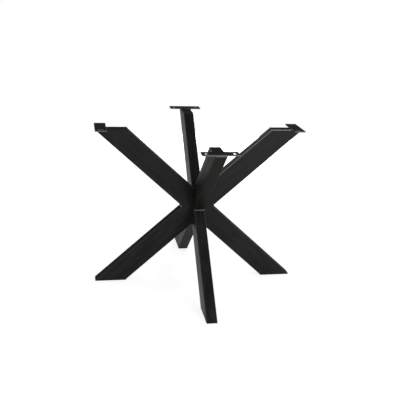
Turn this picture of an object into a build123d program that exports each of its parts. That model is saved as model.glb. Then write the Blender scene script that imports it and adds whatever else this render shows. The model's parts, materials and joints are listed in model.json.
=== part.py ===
from build123d import *

import os
from math import asin, atan2, cos, degrees, hypot, radians, sin, tan

# A welded steel table base: box-section arms that cross at one point half way up, four of
# them rising to flat mounting plates and four falling to the floor. Sizes are in
# millimetres. +Z is up, and the origin is on the floor under the crossing point. The
# arms point along +X (right), +Y (back), -X (left) and -Y (front).

# The whole base
overall_height = 720.0      # floor to the top of the mounting plates
overall_spread = 925.0      # tip to tip, at the top and on the floor

# The box section, with its tall side upright
tube_depth = 95.0           # tall side
tube_width = 47.0           # narrow side
tube_wall = 2.0
tube_corner = 3.5           # outside corner radius

# The flat plates welded over the cut ends of the tubes
cap_thickness = 3.0
top_cap_edge = 2.0          # rounding of a top cap's upper rim
foot_cap_edge = 1.5         # bevel ground round a foot cap's lower rim

# The mounting plates, across the tips of the upper arms
plate_length = 150.0        # across the arm
plate_width = 50.0          # along the arm
plate_thickness = 5.0
plate_corner = 2.5
plate_edge = 1.5            # bevel of the upper rim
slot_spacing = 110.0        # between the two slots of a plate
slot_width = 16.0
slot_length = 28.0          # along the arm, end to end

# The weld beads
notch_weld_leg = 6.0        # in the four notches between an upper and a lower arm
notch_weld_throat = 3.2     # from the notch's corner to the bead's hollow face
corner_weld_leg = 4.0       # in the four upright corners of the crossing
corner_weld_throat = 2.1
plate_weld_leg = 4.5        # under the mounting plates, along both sides of each arm
plate_weld_throat = 2.4

headings = {"right": 0.0, "back": 90.0, "left": 180.0, "front": 270.0}

# Worked out from the sizes above
body_height = overall_height - plate_thickness
centre_height = body_height / 2
tip_radius = overall_spread / 2
tip_rise = centre_height - cap_thickness
# The outer edge of an arm runs from the tip, and the centre line lies half a tube inside it.
slope = atan2(tip_rise, tip_radius) + asin(tube_depth / 2 / hypot(tip_rise, tip_radius))
cut_length = tube_depth / sin(slope)
notch_radius = cut_length / 2
bar_length = hypot(tip_rise, tip_radius) + tube_depth
crossing_half_height = tube_depth / 2 / cos(slope) + tube_width / 2 * tan(slope)
centre = Vector(0, 0, centre_height)
upward = Vector(0, 0, 1)


def outward(heading):
    """Horizontal direction from the crossing towards an arm's tip."""
    return Vector(cos(radians(heading)), sin(radians(heading)), 0)


def sideways(heading):
    """Horizontal direction across an arm."""
    return upward.cross(outward(heading))


def arm_plane(heading, lift):
    """Plane through the crossing, square to an arm that rises (lift 1) or falls (lift -1).

    Its x runs across the tube's narrow side and its y along the tall side.
    """
    axis = outward(heading) * cos(slope) + upward * (lift * sin(slope))
    return Plane(origin=centre, x_dir=sideways(heading), z_dir=axis)


def tube_section(plane):
    """The box section's hollow outline."""
    with BuildSketch(plane) as section:
        RectangleRounded(tube_width, tube_depth, tube_corner)
        RectangleRounded(
            tube_width - 2 * tube_wall,
            tube_depth - 2 * tube_wall,
            max(tube_corner - tube_wall, tube_wall / 4),
            mode=Mode.SUBTRACT,
        )
    return section.sketch


def save(piece, name):
    piece.part.label = name
    export_step(piece.part, f"parts/{name}.step")


os.makedirs("parts", exist_ok=True)

top_cut = Plane.XY.offset(body_height - cap_thickness)
foot_cut = Plane.XY.offset(cap_thickness)
middle = Plane.XY.offset(centre_height)

# One long tube runs straight through the crossing, from the back plate to the front foot.
through_plane = arm_plane(headings["back"], 1)
with BuildPart() as through_tube:
    extrude(tube_section(through_plane), amount=bar_length, both=True)
    split(bisect_by=top_cut, keep=Keep.BOTTOM)
    split(bisect_by=foot_cut, keep=Keep.TOP)
save(through_tube, "through_tube")

# The other front and back arms are cut at a slant and stand on the long tube's narrow faces.
through_upper_face = Plane(
    origin=centre + through_plane.y_dir * (tube_depth / 2), z_dir=through_plane.y_dir
)
with BuildPart() as front_upper_arm:
    extrude(tube_section(arm_plane(headings["front"], 1)), amount=bar_length)
    split(bisect_by=through_upper_face, keep=Keep.TOP)
    split(bisect_by=top_cut, keep=Keep.BOTTOM)
save(front_upper_arm, "front_upper_arm")

through_lower_face = Plane(
    origin=centre - through_plane.y_dir * (tube_depth / 2), z_dir=-through_plane.y_dir
)
with BuildPart() as back_lower_leg:
    extrude(tube_section(arm_plane(headings["back"], -1)), amount=bar_length)
    split(bisect_by=through_lower_face, keep=Keep.TOP)
    split(bisect_by=foot_cut, keep=Keep.TOP)
save(back_lower_leg, "back_lower_leg")

# The space that the front and back arms take up at the crossing. The side arms are cut to it.
with BuildPart() as front_to_back:
    for lift in (1, -1):
        with BuildSketch(arm_plane(headings["back"], lift)):
            Rectangle(tube_width, tube_depth)
        extrude(amount=bar_length, both=True)

# Each side arm is mitred to its partner at mid height and cut to lie flat on the sides of
# the front and back arms, with a pointed tongue over the valley between them.
for side in ("left", "right"):
    half_space = Plane(origin=(0, 0, 0), z_dir=outward(headings[side]))
    with BuildPart() as upper_arm:
        extrude(tube_section(arm_plane(headings[side], 1)), amount=bar_length)
        split(bisect_by=half_space, keep=Keep.TOP)
        split(bisect_by=middle, keep=Keep.TOP)
        split(bisect_by=top_cut, keep=Keep.BOTTOM)
        add(front_to_back.part, mode=Mode.SUBTRACT)
    save(upper_arm, f"{side}_upper_arm")

    with BuildPart() as lower_leg:
        extrude(tube_section(arm_plane(headings[side], -1)), amount=bar_length)
        split(bisect_by=half_space, keep=Keep.TOP)
        split(bisect_by=middle, keep=Keep.BOTTOM)
        split(bisect_by=foot_cut, keep=Keep.TOP)
        add(front_to_back.part, mode=Mode.SUBTRACT)
    save(lower_leg, f"{side}_lower_leg")

# Each cut end is closed by a flat cap of the cut's own outline.
for side, heading in headings.items():
    cap_middle = outward(heading) * (tip_radius - cut_length / 2)

    top_cap_plane = Plane(
        origin=cap_middle + upward * (body_height - cap_thickness), x_dir=outward(heading)
    )
    with BuildPart() as top_cap:
        with BuildSketch(top_cap_plane):
            RectangleRounded(cut_length, tube_width, tube_corner)
        extrude(amount=cap_thickness)
        fillet(top_cap.faces().sort_by(Axis.Z)[-1].outer_wire().edges(), top_cap_edge)
    save(top_cap, f"{side}_top_cap")

    with BuildPart() as foot_cap:
        with BuildSketch(Plane(origin=cap_middle, x_dir=outward(heading))):
            RectangleRounded(cut_length, tube_width, tube_corner)
        extrude(amount=cap_thickness)
        chamfer(foot_cap.faces().sort_by(Axis.Z)[0].outer_wire().edges(), foot_cap_edge)
    save(foot_cap, f"{side}_foot_cap")

# A mounting plate lies across each upper tip, flush with it, with a slot in each overhang.
for side, heading in headings.items():
    plate_plane = Plane(
        origin=outward(heading) * (tip_radius - plate_width / 2) + upward * body_height,
        x_dir=sideways(heading),
    )
    with BuildPart() as mounting_plate:
        with BuildSketch(plate_plane):
            RectangleRounded(plate_length, plate_width, plate_corner)
            with GridLocations(slot_spacing, 0, 2, 1):
                SlotOverall(slot_length, slot_width, rotation=90, mode=Mode.SUBTRACT)
        extrude(amount=plate_thickness)
        chamfer(mounting_plate.faces().sort_by(Axis.Z)[-1].outer_wire().edges(), plate_edge)
    save(mounting_plate, f"{side}_mounting_plate")

# A hollow-faced weld bead fills each notch between an upper and a lower arm.
for side, heading in headings.items():
    notch_plane = Plane(
        origin=centre + outward(heading) * notch_radius,
        x_dir=outward(heading),
        z_dir=-sideways(heading),
    )
    run = notch_weld_leg * cos(slope)
    rise = notch_weld_leg * sin(slope)
    with BuildPart() as notch_weld:
        with BuildSketch(notch_plane):
            with BuildLine():
                Polyline((run, -rise), (0, 0), (run, rise))
                ThreePointArc((run, rise), (notch_weld_throat, 0), (run, -rise))
            make_face()
        extrude(amount=tube_width / 2 - tube_corner, both=True)
    save(notch_weld, f"{side}_notch_weld")

# Upright beads join the side arms' wide faces to the front and back arms' wide faces.
bead_half_length = crossing_half_height - 2 * tube_corner
bead_throat = corner_weld_throat / 2**0.5
for name, across, along in (
    ("front_left", -1, -1),
    ("front_right", 1, -1),
    ("back_right", 1, 1),
    ("back_left", -1, 1),
):
    corner = Vector(across * tube_width / 2, along * tube_width / 2, centre_height)
    with BuildPart() as corner_weld:
        with BuildSketch(Plane(origin=corner)):
            with BuildLine():
                Polyline((across * corner_weld_leg, 0), (0, 0), (0, along * corner_weld_leg))
                ThreePointArc(
                    (0, along * corner_weld_leg),
                    (across * bead_throat, along * bead_throat),
                    (across * corner_weld_leg, 0),
                )
            make_face()
        extrude(amount=bead_half_length, both=True)
    save(corner_weld, f"{name}_corner_weld")

# A bead runs along each side of an arm, in the corner under its mounting plate. It starts at
# the plate's inner edge and stops short of the tube's rounded outer edge.
plate_bead_middle = tip_radius - plate_width / 2 - plate_weld_leg
plate_bead_half_length = plate_width / 2 - plate_weld_leg
plate_bead_throat = plate_weld_throat / 2**0.5
sides = list(headings)
for number, (side, heading) in enumerate(headings.items()):
    for hand, neighbour in ((1, sides[(number + 1) % len(sides)]), (-1, sides[number - 1])):
        seam_plane = Plane(
            origin=outward(heading) * plate_bead_middle
            + sideways(heading) * (hand * tube_width / 2)
            + upward * body_height,
            x_dir=sideways(heading) * hand,
            z_dir=outward(heading) * hand,
        )
        with BuildPart() as plate_weld:
            with BuildSketch(seam_plane):
                with BuildLine():
                    Polyline((plate_weld_leg, 0), (0, 0), (0, -plate_weld_leg))
                    ThreePointArc(
                        (0, -plate_weld_leg),
                        (plate_bead_throat, -plate_bead_throat),
                        (plate_weld_leg, 0),
                    )
                make_face()
            extrude(amount=plate_bead_half_length, both=True)
        save(plate_weld, f"{side}_plate_{neighbour}_weld")

print(f"slope {degrees(slope):.2f} degrees, cut end {cut_length:.1f} mm long")
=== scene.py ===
# %% [markdown]
# # A black table base, dressed in Blender
# The object is a welded steel table base: box-section arms that cross at one point half way
# up, with a slotted mounting plate on each of the four upper tips. The construction is
# already modelled at its real size, so this lesson only loads it as a fixed frame and adds
# what makes it look real: the powder coat, the rippled weld beads and the studio.
#
# Everything is in metres, with +Z up and the origin on the floor under the crossing. The
# sizes that the later cells need are read from the frame, so nothing has to be fitted.

# %% Load the frame
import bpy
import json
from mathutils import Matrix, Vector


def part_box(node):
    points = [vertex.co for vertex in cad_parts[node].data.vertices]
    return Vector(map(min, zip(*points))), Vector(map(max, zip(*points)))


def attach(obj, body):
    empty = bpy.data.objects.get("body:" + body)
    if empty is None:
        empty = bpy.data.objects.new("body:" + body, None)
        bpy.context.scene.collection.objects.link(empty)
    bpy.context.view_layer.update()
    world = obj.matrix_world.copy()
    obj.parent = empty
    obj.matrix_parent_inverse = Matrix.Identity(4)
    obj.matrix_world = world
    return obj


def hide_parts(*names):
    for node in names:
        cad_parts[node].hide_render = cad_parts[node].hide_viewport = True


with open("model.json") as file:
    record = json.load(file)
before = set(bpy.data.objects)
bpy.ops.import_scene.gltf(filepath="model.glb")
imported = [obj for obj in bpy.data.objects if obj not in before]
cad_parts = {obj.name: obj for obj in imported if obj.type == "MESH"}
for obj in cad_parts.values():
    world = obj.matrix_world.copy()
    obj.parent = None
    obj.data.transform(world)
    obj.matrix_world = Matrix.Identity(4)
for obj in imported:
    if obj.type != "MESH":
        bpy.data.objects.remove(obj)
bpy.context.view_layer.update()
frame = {"nodes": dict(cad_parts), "record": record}

# %% Helpers from Blender and Python
import json
from math import atan2, cos, degrees, pi, radians, sin, sqrt

import bmesh
import bpy
from mathutils import Matrix, Vector

millimetre = 0.001
upward = Vector((0, 0, 1))
headings = {"right": 0.0, "back": pi / 2, "left": pi, "front": -pi / 2}


def outward(side):
    """Horizontal direction from the crossing towards an arm's tip."""
    return Vector((cos(headings[side]), sin(headings[side]), 0))


def sideways(side):
    """Horizontal direction across an arm."""
    return upward.cross(outward(side))


# %% [markdown]
# ## Sizes read from the frame
# A weld bead has to lie exactly in its corner, so its place is worked out from the boxes of
# the pieces that it joins. The slope of the arms is not in any box, but a closing plate over
# a slanted cut is as long as the tube's tall side divided by the sine of the slope, and the
# notch between two arms is half that length away from the crossing.

# %% Sizes read from the frame
plate_low, plate_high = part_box("right_mounting_plate")
cap_low, cap_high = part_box("right_top_cap")
corner_low, corner_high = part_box("back_right_corner_weld")

tip_radius = plate_high.x
plate_underside = plate_low.z
cap_thickness = cap_high.z - cap_low.z
cut_length = cap_high.x - cap_low.x
tube_width = cap_high.y - cap_low.y
centre = Vector((0, 0, plate_underside / 2))
notch_radius = cut_length / 2
slope = atan2(centre.z - cap_thickness, tip_radius - notch_radius)
print(f"arms slope at {degrees(slope):.2f} degrees")
print(f"tube {tube_width:.3f} m wide, cut {cut_length:.4f} m long")

# %% [markdown]
# ## The camera
# The camera stands a little left of the front, above the plates, and looks down on the
# crossing. Its place was found by matching the edges of the arms, so it is written as the
# values a photographer would note: which way round, how high, how far and how level.

# %% Camera
camera_azimuth = radians(-11.10)
camera_elevation = radians(19.06)
camera_distance = 3.097
camera_roll = radians(2.78)
aim_right = 0.0141
aim_height = 0.3793
frame_pixels = 400
focal_pixels = 676.9
sensor_width = 36.0

to_camera = Vector(
    (
        sin(camera_azimuth) * cos(camera_elevation),
        -cos(camera_azimuth) * cos(camera_elevation),
        sin(camera_elevation),
    )
)
level_right = Vector((cos(camera_azimuth), sin(camera_azimuth), 0))
level_up = to_camera.cross(level_right)
turned_right = level_right * cos(camera_roll) + level_up * sin(camera_roll)
turned_up = level_up * cos(camera_roll) - level_right * sin(camera_roll)
aim = turned_right * aim_right + upward * aim_height

camera_data = bpy.data.cameras.new("camera")
camera_data.sensor_width = sensor_width
camera_data.lens = focal_pixels * sensor_width / frame_pixels
camera = bpy.data.objects.new("camera", camera_data)
bpy.context.scene.collection.objects.link(camera)
turn = Matrix((turned_right, turned_up, to_camera)).transposed()
camera.matrix_world = Matrix.Translation(aim + to_camera * camera_distance) @ turn.to_4x4()
bpy.context.scene.camera = camera
print(f"camera at {camera.location[:]}, lens {camera_data.lens:.1f} mm")

# %% [markdown]
# ## The studio
# The background is a plain white sweep. Making it white with more light would also wash out
# the black coat, so the light stays plain, and the floor and the world add the rest of the
# white by themselves, only for rays that come from the camera or from a glossy or clear
# surface. The floor still receives light, so the feet keep a faint shadow.

# %% Nodes for the studio and the finishes
def new_material(name):
    """A material, its node tree and its shader."""
    material = bpy.data.materials.new(name)
    material.use_nodes = True
    tree = material.node_tree
    return material, tree, tree.nodes["Principled BSDF"]


def add(tree, kind, **inputs):
    """Adds a node and sets its input sockets by name, with spaces written as underscores."""
    node = tree.nodes.new(kind)
    for name, value in inputs.items():
        node.inputs[name.replace("_", " ")].default_value = value
    return node


def worked_out(tree, operation, *values):
    """The result of a Math node, whose values are numbers or other nodes' outputs."""
    node = tree.nodes.new("ShaderNodeMath")
    node.operation = operation
    for socket, value in zip(node.inputs, values):
        if isinstance(value, (int, float)):
            socket.default_value = value
        else:
            tree.links.new(value, socket)
    return node.outputs[0]


def ramp(tree, value, start, end, low=0.0, high=1.0):
    """low where the value is at start, rising to high at end, and held beyond both."""
    node = add(
        tree, "ShaderNodeMapRange", From_Min=start, From_Max=end, To_Min=low, To_Max=high
    )
    tree.links.new(value, node.inputs["Value"])
    return node.outputs["Result"]


def seen_directly(tree):
    """1 for a ray from the camera or one that a glossy or clear surface sends, otherwise 0."""
    ray = add(tree, "ShaderNodeLightPath").outputs
    seen_or_mirrored = worked_out(tree, "MAXIMUM", ray["Is Camera Ray"], ray["Is Glossy Ray"])
    return worked_out(tree, "MAXIMUM", seen_or_mirrored, ray["Is Transmission Ray"])


# %% Floor
floor_size = 60.0
floor_gap = 0.0004
floor_colour = (0.80, 0.80, 0.80, 1)
floor_own_white = 0.76

floor_material, tree, shader = new_material("floor_white")
shader.inputs["Base Color"].default_value = floor_colour
shader.inputs["Roughness"].default_value = 1.0
shader.inputs["Specular IOR Level"].default_value = 0.0
shader.inputs["Emission Color"].default_value = (1, 1, 1, 1)
own_white = worked_out(tree, "MULTIPLY", seen_directly(tree), floor_own_white)
tree.links.new(own_white, shader.inputs["Emission Strength"])

bm = bmesh.new()
bmesh.ops.create_grid(bm, x_segments=1, y_segments=1, size=floor_size / 2)
bmesh.ops.translate(bm, verts=bm.verts, vec=Vector((0, 0, -floor_gap)))
floor_mesh = bpy.data.meshes.new("floor")
bm.to_mesh(floor_mesh)
bm.free()
floor_mesh.materials.append(floor_material)
floor = bpy.data.objects.new("floor", floor_mesh)
bpy.context.scene.collection.objects.link(floor)
print(f"floor {floor_size:.0f} m square, {floor_gap / millimetre:.1f} mm under the feet")

# %% World
room_light = 0.30
room_seen_as = 1.0
world = bpy.data.worlds.new("studio")
bpy.context.scene.world = world
world.use_nodes = True
tree = world.node_tree
background = tree.nodes["Background"]
background.inputs["Color"].default_value = (1, 1, 1, 1)
level = ramp(tree, seen_directly(tree), 0.0, 1.0, room_light, room_seen_as)
tree.links.new(level, background.inputs["Strength"])
print(f"room light {room_light}, seen as {room_seen_as}")


# %% [markdown]
# ## The lamps
# A ring of soft lamps models the arms. The three at the front light the broad faces that look
# at the camera, and the others do the same for the sides and the back, so that no side of
# the base is a plain silhouette. They stand low because an upright face that is seen from
# above mirrors what is near the floor, and they are soft because the black coat shows no
# hard highlight anywhere.

# %% Lamps
def soft_lamp(name, place, size, power):
    """A square lamp that faces the crossing."""
    lamp = bpy.data.lights.new(name, "AREA")
    lamp.shape = "SQUARE"
    lamp.size = size
    lamp.energy = power
    holder = bpy.data.objects.new(name, lamp)
    holder.location = place
    holder.rotation_euler = (Vector(place) - centre).to_track_quat("Z", "Y").to_euler()
    bpy.context.scene.collection.objects.link(holder)
    print(f"lamp {name}: {power} W, {size} m square, {(Vector(place) - centre).length:.2f} m away")


lamp_height = 0.35
lamp_size = 0.6
for name, x, y, power in (
    ("front_left_lamp", -0.9, -2.8, 9),
    ("front_lamp", 0.9, -2.8, 25),
    ("front_right_lamp", 2.1, -2.3, 20),
    ("right_lamp", 2.9, 0.5, 18),
    ("back_lamp", 0.9, 2.8, 24),
    ("left_lamp", -2.9, 0.5, 6),
):
    soft_lamp(name, (x, y, lamp_height), lamp_size, power)


# %% [markdown]
# ## The powder coat
# Powder coat is a plastic skin baked onto the steel. Up close it has the dimples of an
# orange's peel, a millimetre or two across, over a much finer grain. From a step away it is
# a soft satin black that is never quite even. Faint streaks from the rolled steel show
# through it along each arm, so a noise that is stretched that way moves the colour and the
# roughness a little. The steel is also slightly wavy, so a second, slow noise bends the
# reflections. The patterns read Object coordinates, because every piece sits at the origin,
# and the dimples and waves then run on from one piece to the next without a seam.
#
# The coat also draws back from sharp bends while it bakes, so it is thinner along the edges,
# but the paler colour painted there is mostly a painted highlight: the light that rounded
# edges catch, painted on the upper corners of the tubes, which face the light from above, and
# on the cut rims of the plates. An edge could be found with a Bevel node, but that is slow and
# noisy. Here the direction of the surface says enough: only the rounded corners of a tube face
# partly along X and partly along Y, and only the cut rim of a plate doesn't face straight up
# or down.
#
# Powder settles more on faces that look up, so the upper narrow faces of the tubes are drier
# and rougher. This also keeps them from mirroring a white wall when they are seen edge on.

# %% Where the edges get a painted highlight
# How far round a tube's upper corners and a plate's rim the painted highlight reaches.
tube_highlight_from = 0.3
tube_highlight_top_from = 0.1
tube_highlight_top_to = 0.4
# The plates' cut rims get the painted highlight where they turn away from straight up or down.
plate_highlight_from = 0.97
plate_highlight_to = 0.72


def surface_direction(tree):
    """The way the surface faces, as three outputs X, Y and Z."""
    split = tree.nodes.new("ShaderNodeSeparateXYZ")
    tree.links.new(tree.nodes.new("ShaderNodeTexCoord").outputs["Normal"], split.inputs[0])
    return split.outputs


def tube_highlight_mask(tree):
    """Painted highlight mask: 1 on the upper rounded corners of a sloping box section, otherwise
    0.

    X times Y is 0 on the flat faces and largest half way round a corner.
    """
    direction = surface_direction(tree)
    both_ways = worked_out(tree, "MULTIPLY", direction["X"], direction["Y"])
    most = sin(slope) / 2
    corner = ramp(tree, worked_out(tree, "ABSOLUTE", both_ways), most * tube_highlight_from, most)
    upper = ramp(tree, direction["Z"], tube_highlight_top_from, tube_highlight_top_to)
    return worked_out(tree, "MULTIPLY", corner, upper)


def plate_highlight_mask(tree):
    """Painted highlight mask: 1 on the cut rim of a flat plate, otherwise 0."""
    level = worked_out(tree, "ABSOLUTE", surface_direction(tree)["Z"])
    return ramp(tree, level, plate_highlight_from, plate_highlight_to)


# %% Noise and blended colours
def noise(tree, place, scale, detail, rough):
    """A cloudy pattern of values about 0.5, read at a place on the piece."""
    texture = add(tree, "ShaderNodeTexNoise", Scale=scale, Detail=detail, Roughness=rough)
    tree.links.new(place, texture.inputs["Vector"])
    return texture.outputs["Fac"]


def blended(tree, share, first, second):
    """A colour that goes from the first to the second as the share goes from 0 to 1."""
    mix = tree.nodes.new("ShaderNodeMix")
    mix.data_type = "RGBA"
    tree.links.new(share, mix.inputs["Factor"])
    for socket, value in (("A", first), ("B", second)):
        if isinstance(value, tuple):
            mix.inputs[socket].default_value = (*value, 1)
        else:
            tree.links.new(value, mix.inputs[socket])
    return mix.outputs["Result"]


# %% Powder coat
streak_stretch = 5.0
streak_noise = {"scale": 38.0, "detail": 4.0, "rough": 0.55}
grain_noise = {"scale": 2600.0, "detail": 2.0, "rough": 0.6}
peel_noise = {"scale": 620.0, "detail": 1.0, "rough": 0.4}
wave_noise = {"scale": 15.0, "detail": 2.0, "rough": 0.5}
tone_change = 0.30
tone_from = 0.38
tone_to = 0.62
roughness_change = 0.10
grain_share = 0.3
gloss_from = 0.3
gloss_to = 0.7
dry_top_from = 0.45
dry_top_to = 0.65


def powder_coat(
    name, black, roughness, specular, wave_depth, peel_depth,
    highlight_mask=None, edge_highlight=None, run=upward, dry_top=0.0,
):
    """A satin black coat, with dimples, streaks along the steel's run and painted highlights on
    the edges.
    """
    material, tree, shader = new_material(name)
    shader.inputs["Specular IOR Level"].default_value = specular
    place = tree.nodes.new("ShaderNodeTexCoord").outputs["Object"]
    along_run = tree.nodes.new("ShaderNodeMapping")
    along_run.vector_type = "TEXTURE"
    along_run.inputs["Rotation"].default_value = run.to_track_quat("Z", "Y").to_euler()
    along_run.inputs["Scale"].default_value = (1, 1, streak_stretch)
    tree.links.new(place, along_run.inputs["Vector"])
    streaks = noise(tree, along_run.outputs["Vector"], **streak_noise)

    darker = tuple((1 - tone_change) * c for c in black)
    lighter = tuple((1 + tone_change) * c for c in black)
    colour = blended(tree, ramp(tree, streaks, tone_from, tone_to), darker, lighter)
    # A painted highlight: the edges are painted paler where the mask says.
    if highlight_mask:
        colour = blended(tree, highlight_mask(tree), colour, edge_highlight)
    tree.links.new(colour, shader.inputs["Base Color"])

    patches = tree.nodes.new("ShaderNodeMix")
    patches.inputs["Factor"].default_value = grain_share
    tree.links.new(streaks, patches.inputs["A"])
    tree.links.new(noise(tree, place, **grain_noise), patches.inputs["B"])
    gloss = ramp(
        tree, patches.outputs["Result"], gloss_from, gloss_to,
        roughness - roughness_change, roughness + roughness_change,
    )
    upper_face = ramp(tree, surface_direction(tree)["Z"], dry_top_from, dry_top_to)
    tree.links.new(
        worked_out(tree, "MULTIPLY_ADD", upper_face, dry_top, gloss), shader.inputs["Roughness"]
    )

    waves = add(tree, "ShaderNodeBump", Strength=1.0, Distance=wave_depth)
    tree.links.new(noise(tree, place, **wave_noise), waves.inputs["Height"])
    dimples = add(tree, "ShaderNodeBump", Strength=1.0, Distance=peel_depth)
    tree.links.new(noise(tree, place, **peel_noise), dimples.inputs["Height"])
    tree.links.new(waves.outputs["Normal"], dimples.inputs["Normal"])
    tree.links.new(dimples.outputs["Normal"], shader.inputs["Normal"])
    print(f"coat {name}: roughness {roughness}, dimples {peel_depth / millimetre:.3f} mm deep")
    return material


# %% [markdown]
# ### A coat for each kind of piece
# Mounting plates, closing plates and beads have no long way for the steel to run, so their
# noise is stretched upwards, where few streaks show. A streak on a tube has to follow that
# tube, so each tube has a coat of its own. The tubes' tones differ too, as lit and shaded
# copies of one black: painted shade on the short ones at the front and back, which are
# deeper and warmer with less shine, painted light on the through tube and the left lower leg,
# and painted shade on the right upper arm, which is a little cooler. The right upper arm
# stays smooth on its upper face and has the strongest painted highlight on its edges, and so
# has the plate that closes its top, while the left and back ones have only a faint painted
# highlight.

# %% Blacks, greys and surfaces
# tube_black is the coat's own black; the other tube blacks are lit and shaded copies of it,
# painted light and painted shade for how the lamps fall on each tube.
tube_black = (0.0130, 0.0128, 0.0131)
lit_copy_black = (0.0148, 0.0146, 0.0148)
cool_shaded_black = (0.0120, 0.0120, 0.0130)
shaded_black = (0.0080, 0.0078, 0.0068)
plate_black = (0.0100, 0.0098, 0.0100)
weld_black = (0.0150, 0.0148, 0.0150)
# Paler colours for the edges: painted highlights, strong on the right upper arm and its closing
# plate, faint on the left upper arm, the right lower leg and the left and back closing plates.
tube_edge_highlight = (0.060, 0.059, 0.060)
faint_edge_highlight = (0.030, 0.029, 0.030)
strong_edge_highlight = (0.350, 0.346, 0.350)
plate_edge_highlight = (0.150, 0.148, 0.150)

tube_specular = 0.07
shaded_specular = 0.03
dry_top = 0.45
smooth_top = 0.0
tube_surface = {
    "roughness": 0.46, "wave_depth": 0.0006, "peel_depth": 0.00005, "highlight_mask": tube_highlight_mask
}
plate_surface = {
    "roughness": 0.72, "specular": 0.018, "wave_depth": 0.0004, "peel_depth": 0.00006,
    "highlight_mask": plate_highlight_mask,
}
weld_surface = {
    "roughness": 0.30, "specular": 0.65, "wave_depth": 0.0002, "peel_depth": 0.00004
}
dull_weld_surface = {**weld_surface, "roughness": 0.60, "specular": 0.05}

# %% Coats
coats = {
    "tube_coat": powder_coat(
        "tube_coat", tube_black, specular=tube_specular, edge_highlight=tube_edge_highlight, **tube_surface
    ),
    "plate_coat": powder_coat(
        "plate_coat", plate_black, edge_highlight=plate_edge_highlight, **plate_surface
    ),
    "weld_coat": powder_coat("weld_coat", weld_black, **weld_surface),
}
corner_weld_coat = powder_coat("corner_weld_coat", plate_black, **dull_weld_surface)

# %% Coats for three of the closing plates
own_coats = {}
# The right closing plate's rim gets a strong painted highlight, the back and left ones a faint
# one.
for side, edge_highlight in (
    ("right", strong_edge_highlight), ("back", faint_edge_highlight), ("left", faint_edge_highlight)
):
    own_coats[f"{side}_top_cap"] = powder_coat(
        f"{side}_top_cap_coat", plate_black, edge_highlight=edge_highlight, **plate_surface
    )

# %% A coat for each tube
# Each tube's black is a lit or shaded copy: painted light on the through tube and the left lower
# leg, painted shade on the front upper arm, the back lower leg and the right upper arm; the edge
# colours are painted highlights.
for node, rises_towards, black, specular, edge_highlight, top in (
    ("through_tube", "back", lit_copy_black, tube_specular, tube_edge_highlight, dry_top),
    ("front_upper_arm", "front", shaded_black, shaded_specular, tube_edge_highlight, dry_top),
    ("back_lower_leg", "front", shaded_black, shaded_specular, tube_edge_highlight, dry_top),
    ("left_upper_arm", "left", tube_black, tube_specular, faint_edge_highlight, dry_top),
    ("right_lower_leg", "left", tube_black, tube_specular, faint_edge_highlight, dry_top),
    ("right_upper_arm", "right", cool_shaded_black, tube_specular, strong_edge_highlight, smooth_top),
    ("left_lower_leg", "right", lit_copy_black, tube_specular, tube_edge_highlight, dry_top),
):
    run = outward(rises_towards) * cos(slope) + upward * sin(slope)
    own_coats[node] = powder_coat(
        f"{node}_coat", black, specular=specular, edge_highlight=edge_highlight,
        run=run, dry_top=top, **tube_surface,
    )

# %% Coat the pieces
for subpart in frame["record"]["subparts"]:
    node = subpart["node"]
    piece = frame["nodes"][node]
    piece.data.materials.clear()
    piece.data.materials.append(own_coats.get(node, coats[subpart["material_slot"]]))


# %% [markdown]
# ## Weld beads
# A hand-laid bead is a row of small overlapping puddles, so its back is rippled like a stack
# of coins. Each ripple bows along the bead, because a puddle freezes from its sides inwards,
# and the bead tapers at both ends, where the arc was started and stopped. A plain closed
# cylinder is cut into many rings, and each ring's points then swell or shrink, so the skin
# stays closed from end to end.

# %% Rippled bead
bead_facets = 20
rings_per_ripple = 5
ripple_pitch = 0.0026
ripple_depth = 0.09
ripple_bow = 0.0015
ripple_front = 0.3
end_taper = 0.0040
end_size = 0.12


def ripple(distance):
    """How far a bead swells here: each puddle has a steep front and a long back."""
    share = distance / ripple_pitch % 1
    rise = share / ripple_front if share < ripple_front else (1 - share) / (1 - ripple_front)
    return 1 + ripple_depth * (rise - 0.5)


def bead_size(distance, length):
    """The share of its full radius that a bead has, with a rounded start and stop."""
    inside = min(distance, length - distance, end_taper) / end_taper
    return end_size + (1 - end_size) * sqrt(max(0.0, 1 - (1 - inside) ** 2))


def rippled_bead(name, start, end, proud, radius, coat=coats["weld_coat"]):
    """A closed round bead from start to end, whose ripples bow about the proud side."""
    length = (end - start).length
    bm = bmesh.new()
    bmesh.ops.create_cone(
        bm, cap_ends=True, segments=bead_facets, radius1=radius, radius2=radius, depth=length
    )
    lengthwise = [e for e in bm.edges if abs(e.verts[0].co.z - e.verts[1].co.z) > length / 2]
    rings = round(length / ripple_pitch * rings_per_ripple)
    bmesh.ops.subdivide_edges(bm, edges=lengthwise, cuts=rings - 1)
    for vertex in bm.verts:
        distance = vertex.co.z + length / 2
        bow = ripple_bow * (vertex.co.x / radius) ** 2
        size = bead_size(distance, length) * ripple(distance + bow)
        vertex.co.x *= size
        vertex.co.y *= size
    along = (end - start).normalized()
    axes = Matrix((proud.cross(along), proud, along)).transposed().to_4x4()
    place = Matrix.Translation((start + end) / 2) @ axes
    bmesh.ops.transform(bm, matrix=place, verts=bm.verts)
    bmesh.ops.recalc_face_normals(bm, faces=bm.faces)
    for face in bm.faces:
        face.smooth = True
    mesh = bpy.data.meshes.new(name)
    bm.to_mesh(mesh)
    bm.free()
    mesh.materials.append(coat)
    bead = bpy.data.objects.new(name, mesh)
    bpy.context.scene.collection.objects.link(bead)
    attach(bead, "root")
    print(f"{name}: {length / millimetre:.0f} mm long, {len(mesh.polygons)} faces")
    return bead


# %% [markdown]
# ### Beads in the notches
# The four notches between an upper and a lower arm hold one bead each. Its centre sits far
# enough from the notch's corner for its round back to stand a little proud.

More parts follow.
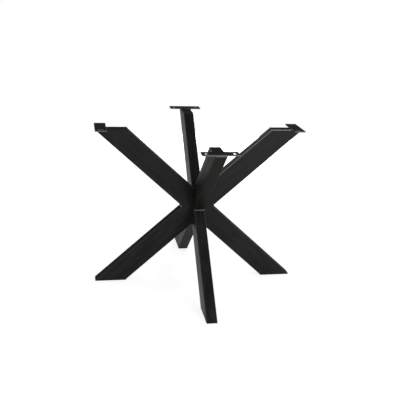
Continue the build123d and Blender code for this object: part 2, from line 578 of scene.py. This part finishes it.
# %% Notch beads
notch_bead_radius = 0.0050
notch_bead_offset = 0.0032
notch_bead_end_gap = 0.0010
for side in headings:
    middle = centre + outward(side) * (notch_radius + notch_bead_offset)
    reach = sideways(side) * (tube_width / 2 - notch_bead_end_gap)
    bead = rippled_bead(
        f"{side}_notch_bead", middle - reach, middle + reach, outward(side), notch_bead_radius
    )
    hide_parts(f"{side}_notch_weld")

# %% [markdown]
# ### Beads at the crossing and under the plates
# The side arms are joined to the front and back arms by upright beads in the four corners of
# the crossing. Two more beads run under each mounting plate, one along each side of its arm.
# In both places the steel meets at a right angle, so a bead's centre lies a short way out
# from the corner along each face. The upright beads have a dull coat, because little powder
# reaches a deep corner.

# %% Corner beads
corner_bead_radius = 0.0020
corner_bead_offset = 0.0003
for name, across, along in (
    ("front_left", -1, -1),
    ("front_right", 1, -1),
    ("back_right", 1, 1),
    ("back_left", -1, 1),
):
    edge = tube_width / 2 + corner_bead_offset
    foot = Vector((across * edge, along * edge, corner_low.z))
    head = Vector((across * edge, along * edge, corner_high.z))
    proud = Vector((across, along, 0)).normalized()
    bead = rippled_bead(
        f"{name}_corner_bead", foot, head, proud, corner_bead_radius, corner_weld_coat
    )
    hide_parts(f"{name}_corner_weld")

# %% Beads under the plates
plate_bead_radius = 0.0033
plate_bead_offset = 0.0010
sides = list(headings)
for number, side in enumerate(sides):
    for hand, neighbour in ((1, sides[(number + 1) % len(sides)]), (-1, sides[number - 1])):
        node = f"{side}_plate_{neighbour}_weld"
        low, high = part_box(node)
        half_length = max(high.x - low.x, high.y - low.y) / 2
        across = sideways(side) * hand
        middle = outward(side) * outward(side).dot((low + high) / 2)
        middle += across * (tube_width / 2 + plate_bead_offset)
        middle.z = plate_underside - plate_bead_offset
        reach = outward(side) * half_length
        proud = (across - upward).normalized()
        name = f"{side}_plate_{neighbour}_bead"
        bead = rippled_bead(name, middle - reach, middle + reach, proud, plate_bead_radius)
        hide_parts(node)

# %% [markdown]
# ## Finish
# The view transform is set to Standard.

# %% Finish
bpy.context.scene.view_settings.view_transform = "Standard"
